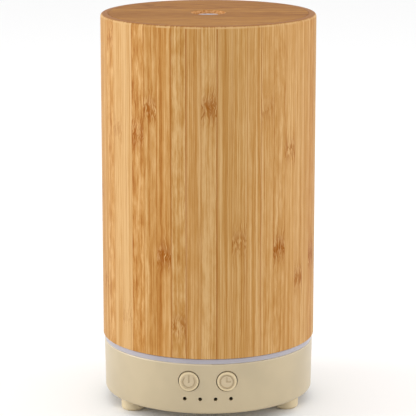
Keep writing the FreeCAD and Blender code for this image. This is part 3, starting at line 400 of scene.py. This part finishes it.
def moulded(name, colour, roughness, grain=9.0, depth=0.012, shift=0.03, specular=0.45, paint=None, **more):
    """Moulded plastic: fine spark-eroded grain, and tone that drifts slightly over the piece.

    paint takes the shader, the place and the colour so far, and gives the colour with its own marks added.
    Like metal and circuit_board, it gives the name of the record's slot and the material for it.
    """
    s = Shader(name)
    place = s.place()
    here = s.vector(*place)
    drift = s.noise(here, 0.06, 2.0)
    specks = s.noise(here, grain, 2.0, 0.6)
    darker = shade(colour, 1 - shift * 2)
    lighter = shade(colour, 1 + shift)
    tone = s.mix(s.ease(drift, 0.35, 0.65), darker, lighter)
    tone = s.mix(s.times(s.ease(specks, 0.35, 0.75), shift), tone, darker)
    if paint:
        tone = paint(s, place, tone)
    s.set(Base_Color=tone, Roughness=s.add(roughness, s.swing(specks, 0.12)))
    s.set(Specular_IOR_Level=specular, **more)
    s.bump(specks, depth * MM, 0.5)
    return name, s.material


def metal(name, colour, roughness, scratch=(0.3, 6.0, 6.0), paint=None):
    """Metal with fine scratches that run along the axis where scratch is small."""
    s = Shader(name)
    place = s.place()
    stretched = [s.times(value, scale) for value, scale in zip(place, scratch)]
    lines = s.noise(s.vector(*stretched), 1.0, 3.0, 0.65)
    patches = s.noise(s.vector(*place), 0.5, 2.0)
    tone = s.mix(s.ease(patches, 0.3, 0.7), shade(colour, 0.8), colour)
    if paint:
        tone = paint(s, place, tone)
    s.set(Base_Color=tone, Metallic=1.0)
    s.set(Roughness=s.add(roughness, s.swing(lines, 0.25)))
    s.bump(lines, 0.01 * MM, 0.3)
    return name, s.material


def painted_dish_shade(s, place, tone):
    """Painted shade: a button's dished face is a little darker than its rim, and the engraved icon darker
    still.
    """
    dish_depth, icon_depth, face_end = (0.12, 0.22), (0.30, 0.42), (1.2, 0.9)
    behind = s.minus(place[1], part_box("power_button")[0].y / MM)
    on_face = s.ease(behind, *face_end)
    dish_shade = s.times(s.ease(behind, *dish_depth), on_face)
    groove_shade = s.times(s.ease(behind, *icon_depth), on_face)
    # Painted shade in the recesses: the dish and the icon's grooves are darkened where they lie back from
    # the rim.
    tone = s.mix(dish_shade, tone, rgb(194, 176, 144))
    return s.mix(groove_shade, tone, rgb(188, 169, 134))


def painted_rim_highlight(s, place, tone):
    """The rounded upper edge of the base, painted a little lighter than the wall as a highlight from the top
    light.
    """
    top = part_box("base_housing")[1].z / MM
    rim_start = (top - 0.65, top - 0.35)
    return s.mix(s.ease(place[2], *rim_start), tone, rgb(196, 180, 148))


def crystal_below(s, place, tone):
    """The fired silver electrode over the crystal that is bonded under the transducer's plate."""
    fired_edge = 0.3  # how far the silver reaches up the crystal's edge
    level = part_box("transducer_disc")[0].z / MM + fired_edge
    silver = s.mix(s.noise(s.vector(*place), 3.0, 2.0), rgb(205, 200, 190), rgb(235, 232, 224))
    return s.mix(s.ease(place[2], level + 0.05, level - 0.05), tone, silver)


def copper_winding(s, place, tone):
    """Turns of enamelled copper wire between the two rims of the inductor."""
    rim, blend, pitch = 1.0, 0.1, 0.5
    bottom, top = (corner.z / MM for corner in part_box("driver_inductor"))
    above = s.ease(place[2], bottom + rim, bottom + rim + blend)
    below = s.ease(place[2], top - rim, top - rim - blend)
    turns = s.math("SINE", s.times(place[2], 2 * math.pi / pitch))
    copper = s.mix(s.ease(turns, -1.0, 1.0), rgb(92, 40, 16), rgb(186, 98, 48))
    return s.mix(s.times(above, below), tone, copper)


def aluminium_top(s, place, tone):
    """The bare can on top of the capacitors' sleeves, and the stripe down their sides."""
    reach_squared = (14.0, 13.0)  # a circle that holds one capacitor but not the other
    stripe_start, stripe_width = (1.6, 1.8), (0.9, 0.8)
    bare, stripe = 0.0, 0.0
    for name in ("capacitor_large", "capacitor_small"):
        low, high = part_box(name)
        top = high.z / MM
        middle = (low + high) / 2 / MM
        away_x = s.minus(place[0], middle.x)
        away_y = s.minus(place[1], middle.y)
        near = s.ease(s.add(s.times(away_x, away_x), s.times(away_y, away_y)), *reach_squared)
        bare = s.larger(bare, s.times(near, s.ease(place[2], top - 0.15, top - 0.05)))
        side = s.times(s.ease(away_x, *stripe_start), s.ease(s.magnitude(away_y), *stripe_width))
        stripe = s.larger(stripe, s.times(near, side))
    tone = s.mix(stripe, tone, rgb(190, 194, 200))
    return s.mix(bare, tone, rgb(214, 216, 218))


def phosphor_windows(s, place, tone):
    """The yellow phosphor in the round window of each light on the main board."""
    window = 1.3  # radius
    low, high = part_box("mood_led_1")
    middle = (low + high) / 2 / MM
    circle = math.hypot(middle.x, middle.y)
    sixth = math.pi / 3
    start = math.atan2(middle.y, middle.x)
    angle = s.math("ARCTAN2", place[1], place[0])
    turned = s.math("DIVIDE", s.minus(angle, start), sixth)
    along = s.times(s.minus(turned, s.math("ROUND", turned)), sixth * circle)
    out = s.minus(s.reach(place[0], place[1]), circle)
    return s.mix(s.ease(s.reach(along, out), window + 0.05, window - 0.05), tone, rgb(226, 196, 84))


def circuit_board(name):
    """Green solder mask over copper tracks that run along X and across it, with tinned pads."""
    lanes, pads_per_mm = 0.8, 0.28
    track_edge, pad_edge = (0.16, 0.10), (0.14, 0.11)
    s = Shader(name)
    x, y, z = s.place()
    v = s.add(y, z)  # across X, on the flat board and on the upright one
    fill = s.noise(s.vector(x, y, z), 0.35, 1.0)

    def tracks(across, along, seed):
        lane = s.math("FLOOR", s.times(across, lanes))
        wave = s.magnitude(s.minus(s.math("FRACT", s.times(across, lanes)), 0.5))
        present = s.noise(s.vector(s.times(lane, 3.7), s.times(along, 0.09), seed), 1.0, 0.0)
        return s.times(s.ease(wave, *track_edge), s.ease(present, 0.52, 0.54))

    side_by_side = s.ease(fill, 0.49, 0.51)
    lengthwise = s.times(tracks(v, x, 1.0), side_by_side)
    crosswise = s.times(tracks(x, v, 8.0), s.minus(1.0, side_by_side))
    copper = s.larger(lengthwise, crosswise)
    dots = s.node("ShaderNodeTexVoronoi", feature="F1", voronoi_dimensions="2D")
    s.put(dots.inputs["Vector"], s.vector(x, v, 0.0))
    s.put(dots.inputs["Scale"], pads_per_mm)
    pads = s.ease(dots.outputs["Distance"], *pad_edge)
    tone = s.mix(copper, rgb(18, 84, 46), rgb(34, 122, 66))
    tone = s.mix(pads, tone, rgb(196, 192, 178))
    s.set(Base_Color=tone, Metallic=pads, Roughness=s.add(0.28, s.times(fill, 0.12)))
    s.bump(s.add(copper, pads), 0.03 * MM, 0.6)
    return name, s.material


# ---------------------------------------------------------------- mesh helpers


def new_object(name, data):
    made = bpy.data.objects.new(name, data)
    bpy.context.scene.collection.objects.link(made)
    return made


def arc_points(centre, radius, start, end, steps):
    """Points (r, z) on an arc in a section, with angles in degrees from the outward direction."""
    points = []
    for n in range(steps + 1):
        angle = math.radians(start + (end - start) * n / steps)
        points.append((centre[0] + radius * math.cos(angle), centre[1] + radius * math.sin(angle)))
    return points


def turned_faces(columns, rows):
    """Faces of a closed section that is turned round the Z axis, column by column."""
    faces = []
    for column in range(columns):
        here, there = column * rows, (column + 1) % columns * rows
        for row in range(rows):
            up = (row + 1) % rows
            faces.append((here + row, there + row, there + up, here + up))
    return faces


def turned_point(r, angle, z):
    """A point at distance r from the Z axis, at an angle from the middle of the front."""
    return r * math.sin(angle), -r * math.cos(angle), z


def strip_attributes(mesh, values):
    """Writes the corner attributes that the bamboo material reads: three vectors for each corner."""
    for number, name in enumerate(("strip_place", "strip_look", "strip_node")):
        layer = mesh.attributes.new(name, "FLOAT_VECTOR", "CORNER")
        layer.data.foreach_set("vector", [c for corner in values for c in corner[number]])


def smooth_object(name, mesh, material):
    """An object that looks smooth but for its sharp edges."""
    mesh.polygons.foreach_set("use_smooth", [True] * len(mesh.polygons))
    mesh.set_sharp_from_angle(angle=SHARP_ANGLE)
    mesh.materials.append(material)
    return new_object(name, mesh)


# ---------------------------------------------------------------- bamboo cover


def strip_facts(number):
    """Look and node of one strip of the cover's wall."""
    if number in FRONT_STRIPS:
        return FRONT_STRIPS[number]
    tone = random.uniform(-0.5, 0.8)
    warmth = random.uniform(-0.6, 0.7)
    mottling = random.choice((0.1, 0.2, 0.3, 0.7, 0.9))
    node = random.uniform(30, 155) if random.random() < 0.75 else NO_NODE
    strength = random.uniform(0.4, 1.0)
    return tone, warmth, mottling, node, strength, random.choice((0.1, 0.2, 0.4, 0.8))


def sleeve_section():
    """The wall's closed section as (r, z), from the inner foot over the outside to the lid's seat."""
    seat_play, seat_bevel = 0.05 * MM, 0.15 * MM
    levels = 12
    inside = COVER_RADIUS - COVER_WALL
    seat_radius = LID_RADIUS + seat_play
    low, high, seat = COVER_LOW.z, COVER_HIGH.z, LID_LOW.z
    wall_low, wall_high = low + FOOT_ROUND, high - EDGE_ROUND
    section = arc_points((inside + FOOT_ROUND, wall_low), FOOT_ROUND, 180, 270, 4)
    section += arc_points((COVER_RADIUS - FOOT_ROUND, wall_low), FOOT_ROUND, -90, 0, 5)
    section += [(COVER_RADIUS, wall_low + (wall_high - wall_low) * n / levels) for n in range(1, levels)]
    section += arc_points((COVER_RADIUS - EDGE_ROUND, wall_high), EDGE_ROUND, 0, 90, 8)
    section += [
        (seat_radius + seat_bevel, high),
        (seat_radius, high - seat_bevel),
        (seat_radius, seat),
        (inside, seat),
    ]
    return section


def bamboo_sleeve(material):
    """The cover's wall. A shallow groove on the outside marks each strip's left edge."""
    columns = 8  # faces across one strip
    section = sleeve_section()
    step = 2 * math.pi / STRIP_COUNT
    width = step * COVER_RADIUS / MM
    first = -(STRIP_COUNT // 2)
    facts = {n: strip_facts(n) for n in range(first, first + STRIP_COUNT)}
    seeds = {n: random.uniform(0, 500) for n in facts}
    points, values = [], []
    for strip, (tone, warmth, mottling, node, strength, glue) in facts.items():
        for column in range(columns):
            angle = (strip + STRIP_START + column / columns) * step
            for r, z in section:
                grooved = column == 0 and r > COVER_RADIUS - 0.01 * MM
                points.append(turned_point(r - GLUE_GROOVE if grooved else r, angle, z))
            left = -1 + 2 * column / columns
            right = left + 2 / columns
            for across in (left, right, right, left) * len(section):
                place = (across, seeds[strip], glue)
                values.append((place, (tone, warmth, mottling), (node, strength, width)))
    mesh = bpy.data.meshes.new("bamboo_wall")
    mesh.from_pydata(points, [], turned_faces(STRIP_COUNT * columns, len(section)))
    strip_attributes(mesh, values)
    wall = smooth_object("bamboo_wall", mesh, material)
    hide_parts("bamboo_sleeve")
    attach(wall, "bamboo_cover")


def lid_section():
    """The lid's closed section as (r, z), from the mist hole round the outside and back over the top."""
    bevel, edge = 0.4 * MM, 0.15 * MM
    rings = 14  # of faces over the top
    low, high = LID_LOW.z, LID_HIGH.z
    inner, outer = MIST_HOLE + bevel, LID_RADIUS - edge
    section = [
        (MIST_HOLE, low + bevel),
        (inner, low),
        (outer, low),
        (LID_RADIUS, low + edge),
        (LID_RADIUS, high - edge),
        (outer, high),
    ]
    section += [(outer - (outer - inner) * n / rings, high) for n in range(1, rings)]
    section += arc_points((inner, high - bevel), bevel, 90, 180, 4)
    return section


def strip_edges():
    """The Y of each glue line between two strips of the lid."""
    edges, y = [], LID_FRONT
    for strip in LID_STRIPS[:-1]:
        y += strip[0] * MM
        edges.append(y)
    return edges


def strip_at(y):
    """Number, left edge and width of the lid's strip at this Y."""
    left = LID_FRONT
    for number, strip in enumerate(LID_STRIPS):
        width = strip[0] * MM
        if y < left + width or number == len(LID_STRIPS) - 1:
            return number, left, width
        left += width


def cut_at(mesh, heights):
    """Splits a mesh along planes of constant Y, so that no face crosses one."""
    work = bmesh.new()
    work.from_mesh(mesh)
    for y in heights:
        geometry = work.verts[:] + work.edges[:] + work.faces[:]
        bmesh.ops.bisect_plane(work, geom=geometry, plane_co=(0, y, 0), plane_no=(0, 1, 0))
    work.to_mesh(mesh)
    work.free()


def bamboo_lid(material):
    """The lid: a disc of strips that run along X, with the mist hole through its middle."""
    columns = 240
    section = lid_section()
    points = []
    for column in range(columns):
        angle = 2 * math.pi * column / columns
        points += [turned_point(r, angle, z) for r, z in section]
    mesh = bpy.data.meshes.new("bamboo_lid")
    mesh.from_pydata(points, [], turned_faces(columns, len(section)))
    cut_at(mesh, strip_edges())
    values = []
    for face in mesh.polygons:
        strip, left, width = strip_at(face.center.y)
        _, tone, warmth, mottling, node, strength = LID_STRIPS[strip]
        seed = 31.0 + strip * 17.3  # another pattern for each strip
        for corner in face.loop_indices:
            y = mesh.vertices[mesh.loops[corner].vertex_index].co.y
            place = (-1 + 2 * (y - left) / width, seed, LID_GLUE)
            values.append((place, (tone, warmth, mottling), (node, strength, width / MM)))
    strip_attributes(mesh, values)
    lid = smooth_object("bamboo_lid", mesh, material)
    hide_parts("bamboo_top")
    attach(lid, "bamboo_cover")


# ---------------------------------------------------------------- stage


def area_light(name, place, size, power, colour=(1, 1, 1)):
    """A rectangular lamp that shines on the middle of the object."""
    middle = Vector((0, 0, 0.085))
    data = bpy.data.lights.new(name, "AREA")
    data.shape = "RECTANGLE"
    data.size, data.size_y = size
    data.energy = power
    data.color = colour
    lamp = new_object(name, data)
    lamp.location = place
    lamp.rotation_euler = (middle - Vector(place)).to_track_quat("-Z", "Y").to_euler()


def studio():
    """White surroundings, a softbox on each side and one above, and a pale floor."""
    scene = bpy.context.scene
    scene.view_settings.view_transform = "Standard"
    world = bpy.data.worlds.new("studio")
    world.use_nodes = True
    background = world.node_tree.nodes["Background"]
    background.inputs["Color"].default_value = (1.0, 1.0, 1.0, 1.0)
    background.inputs["Strength"].default_value = 1.0
    scene.world = world

    area_light("left_softbox", (-0.95, -0.08, 0.26), (0.5, 0.8), 5.0, (1.0, 0.98, 0.95))
    area_light("right_softbox", (0.95, 0.0, 0.24), (0.5, 0.8), 3.2, (1.0, 0.98, 0.97))
    area_light("top_softbox", (0.0, 0.15, 1.0), (0.9, 0.9), 1.0)

    half = 3.0
    corners = [(-half, -half, 0), (half, -half, 0), (half, half, 0), (-half, half, 0)]
    mesh = bpy.data.meshes.new("floor")
    mesh.from_pydata(corners, [], [(0, 1, 2, 3)])
    floor = new_object("floor", mesh)
    paper = Shader("floor_paper")
    paper.set(Base_Color=(0.93, 0.93, 0.93, 1.0), Roughness=0.9, Specular_IOR_Level=0.1)
    mesh.materials.append(paper.material)


def camera():
    """A long lens in front of the object, looking slightly down at it."""
    beside, in_front, above = 3.8 * MM, 0.840, 0.1064  # above is measured from the cover's top
    tilt, pan = 0.2170, 0.0047  # radians, down and to the left
    data = bpy.data.cameras.new("camera")
    data.sensor_width = 36.0
    data.lens = 185.5
    data.clip_start, data.clip_end = 0.05, 20.0
    eye = new_object("camera", data)
    eye.location = (beside, -in_front, COVER_HIGH.z + above)
    eye.rotation_euler = (math.pi / 2 - tilt, 0.0, pan)
    bpy.context.scene.camera = eye


# ---------------------------------------------------------------- everything


def plastics():
    """Plastic, rubber and silicone."""
    coat = {"Coat_Weight": 0.3, "Coat_Roughness": 0.3}
    fine = {"depth": 0.006, "shift": 0.02}
    glow = {
        "Subsurface_Weight": 0.35,
        "Subsurface_Radius": (1.0, 1.0, 1.1),
        "Subsurface_Scale": 1.5 * MM,
    }
    return (
        # The base's rounded top edge carries a painted highlight.
        moulded("cream_plastic", rgb(178, 161, 126), 0.38, grain=7.0, specular=1.0, paint=painted_rim_highlight, **coat),
        moulded("cream_button", rgb(206, 188, 151), 0.36, grain=12.0, paint=painted_dish_shade, **fine),
        moulded("cream_rubber", rgb(210, 193, 159), 0.62, grain=5.0, depth=0.02, specular=0.3),
        moulded("white_plastic", rgb(218, 223, 232), 0.34, grain=6.0, shift=0.008),
        moulded("milky_plastic", rgb(167, 163, 170), 0.30, grain=4.0, depth=0.004, shift=0.02, **glow),
        moulded("clear_silicone", rgb(196, 198, 200), 0.4, grain=5.0, Transmission_Weight=0.35),
        moulded("retainer_plastic", rgb(222, 222, 220), 0.45),
        moulded("black_plastic", rgb(30, 30, 31), 0.42, grain=6.0, depth=0.02, shift=0.10),
        moulded("connector_white", rgb(228, 224, 208), 0.38, grain=5.0),
        moulded("lead_red", rgb(176, 28, 22), 0.4, grain=5.0, depth=0.01, shift=0.05),
        moulded("lead_black", rgb(32, 32, 33), 0.4, grain=5.0, depth=0.01, shift=0.05),
        moulded("lead_white", rgb(222, 222, 216), 0.4, grain=5.0, depth=0.01),
    )


def electronics():
    """Boards and what is soldered to them."""
    clear = {"specular": 0.3, "Transmission_Weight": 0.5}
    return (
        circuit_board("board_green"),
        moulded("switch_black", rgb(38, 38, 40), 0.5, grain=8.0, depth=0.01, shift=0.08),
        # The clear lenses of the indicator lights are near black: painted shade for the dark seen through
        # their small holes.
        moulded("led_clear", rgb(20, 19, 18), 0.12, grain=3.0, depth=0.002, **clear),
        moulded("led_package", rgb(232, 232, 228), 0.3, paint=phosphor_windows),
        moulded("ferrite", rgb(58, 58, 60), 0.6, grain=4.0, depth=0.03, shift=0.10, paint=copper_winding),
        moulded("capacitor_sleeve", rgb(22, 28, 52), 0.22, grain=2.0, depth=0.004, paint=aluminium_top),
    )


def metals():
    """Bare metal. Its scratches run along X, but along Z on the screws and along Y on the heat sink."""
    return (
        metal("transducer_metal", rgb(206, 200, 190), 0.25, paint=crystal_below),
        metal("screw_steel", rgb(176, 176, 180), 0.32, scratch=(4.0, 4.0, 0.6)),
        metal("sink_aluminium", rgb(196, 198, 201), 0.34, scratch=(6.0, 0.3, 6.0)),
        metal("contact_metal", rgb(214, 190, 128), 0.2),
    )


def dress_nodes():
    """Gives each CAD node that still shows the finish of its slot in the record."""
    finish = dict((*plastics(), *electronics(), *metals()))
    for subpart in frame["record"]["subparts"]:
        if subpart["material_slot"] in finish:
            for slot in frame["nodes"][subpart["node"]].material_slots:
                slot.material = finish[subpart["material_slot"]]


def build():
    studio()
    camera()
    colours = rgb(205, 166, 114), rgb(179, 131, 69), rgb(144, 81, 5)
    bamboo_sleeve(bamboo_material("bamboo_wall", colours, 0.12, "z", cut_ends))
    # The lid's colours are a darker copy of the wall's: browner wood, and partly painted shade for its
    # upward face.
    colours = rgb(176, 126, 58), rgb(152, 101, 42), rgb(108, 60, 8)
    bamboo_lid(bamboo_material("bamboo_lid", colours, 0.04, "x", drilled_wall))
    dress_nodes()


build()
